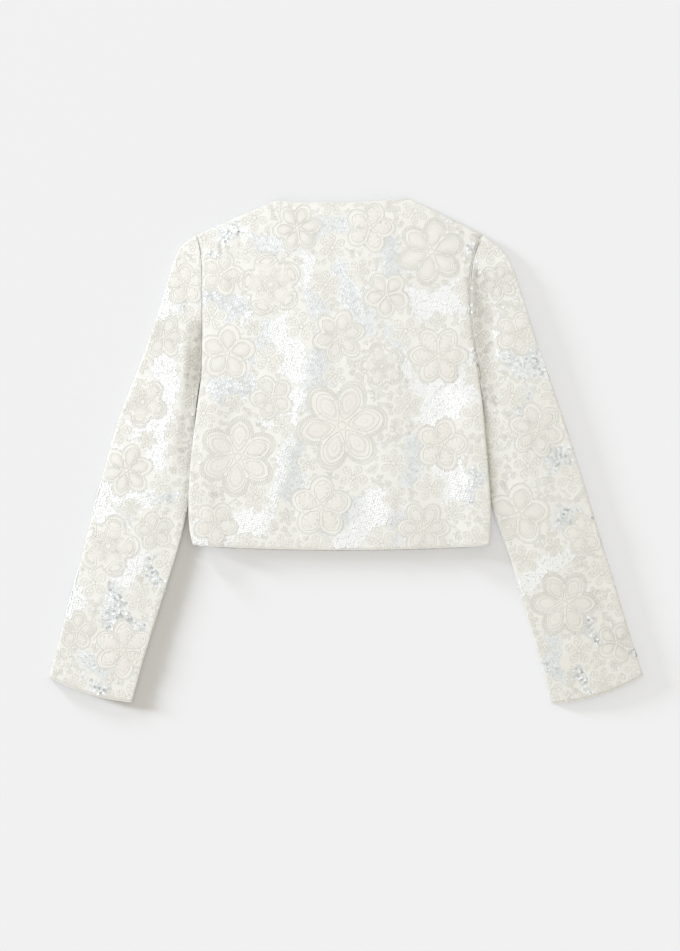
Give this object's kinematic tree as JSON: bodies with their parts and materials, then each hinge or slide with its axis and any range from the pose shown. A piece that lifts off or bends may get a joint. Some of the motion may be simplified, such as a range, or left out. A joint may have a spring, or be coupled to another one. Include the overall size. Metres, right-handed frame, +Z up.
{
  "type": "cropped collarless embroidered jacket",
  "caption": "Short collarless jacket with long sleeves, of flower-embroidered and sequinned cloth, lying flat on its front with its back upward.",
  "frame": {"origin": "middle of the jacket's underside: the middle of its box in plan, on the surface that it lies on", "axes": "+Z up from the surface, out of the jacket's back; +Y from the hem to the neck; +X to the wearer's right"},
  "size_m": [0.801, 0.6804, 0.0137],
  "materials": {
    "embroidered_cloth": "matte ivory flower embroidery and cording on net",
    "front_cloth": "matte ivory flower embroidery, underside of the laid jacket",
    "sequins": "pearly white sequins, glossy"
  },
  "bodies": {
    "root": {"back": "embroidered_cloth", "left_front": "front_cloth", "right_front": "front_cloth", "left_sleeve": "embroidered_cloth", "right_sleeve": "embroidered_cloth"}
  },
  "joints": []
}
